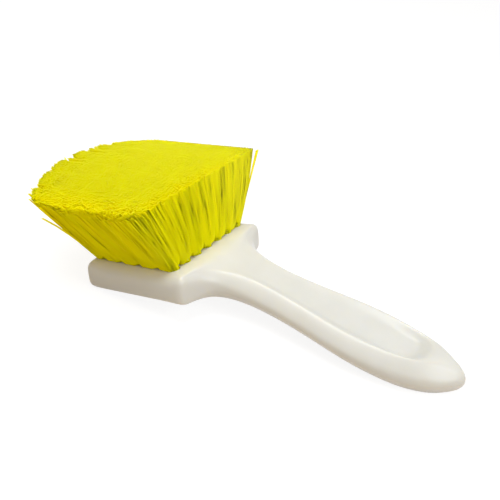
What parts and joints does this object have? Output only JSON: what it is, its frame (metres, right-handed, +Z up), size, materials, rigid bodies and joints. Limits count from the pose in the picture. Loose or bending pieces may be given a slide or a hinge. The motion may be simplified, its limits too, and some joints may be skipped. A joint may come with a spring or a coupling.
{
  "type": "scrub brush",
  "caption": "Short-handled utility scrub brush: a wide white moulded block and dished grip in one piece, set with flared yellow bristle tufts, lying on its back.",
  "frame": {"origin": "bottom centre of the bounding box, with the brush lying on its back and its bristles up", "axes": "+X along the brush from the bristles to the end of the handle, +Y across it, +Z up from the ground to the bristle tips"},
  "size_m": [0.2522, 0.1218, 0.0657],
  "materials": {
    "white_plastic": "glossy ivory white moulded plastic, slightly translucent",
    "yellow_filament": "bright lemon yellow drawn plastic filament, satin"
  },
  "bodies": {
    "root": {"handle_block": "white_plastic", "tuft_1_1": "yellow_filament", "tuft_1_2": "yellow_filament", "tuft_1_3": "yellow_filament", "tuft_1_4": "yellow_filament", "tuft_1_5": "yellow_filament", "tuft_1_6": "yellow_filament", "tuft_1_7": "yellow_filament", "tuft_2_1": "yellow_filament", "tuft_2_2": "yellow_filament", "tuft_2_3": "yellow_filament", "tuft_2_4": "yellow_filament", "tuft_2_5": "yellow_filament", "tuft_2_6": "yellow_filament", "tuft_2_7": "yellow_filament", "tuft_3_1": "yellow_filament", "tuft_3_2": "yellow_filament", "tuft_3_3": "yellow_filament", "tuft_3_4": "yellow_filament", "tuft_3_5": "yellow_filament", "tuft_3_6": "yellow_filament", "tuft_3_7": "yellow_filament", "tuft_4_1": "yellow_filament", "tuft_4_2": "yellow_filament", "tuft_4_3": "yellow_filament", "tuft_4_4": "yellow_filament", "tuft_4_5": "yellow_filament", "tuft_4_6": "yellow_filament", "tuft_4_7": "yellow_filament", "tuft_5_1": "yellow_filament", "tuft_5_2": "yellow_filament", "tuft_5_3": "yellow_filament", "tuft_5_4": "yellow_filament", "tuft_5_5": "yellow_filament", "tuft_5_6": "yellow_filament", "tuft_5_7": "yellow_filament"}
  },
  "joints": []
}
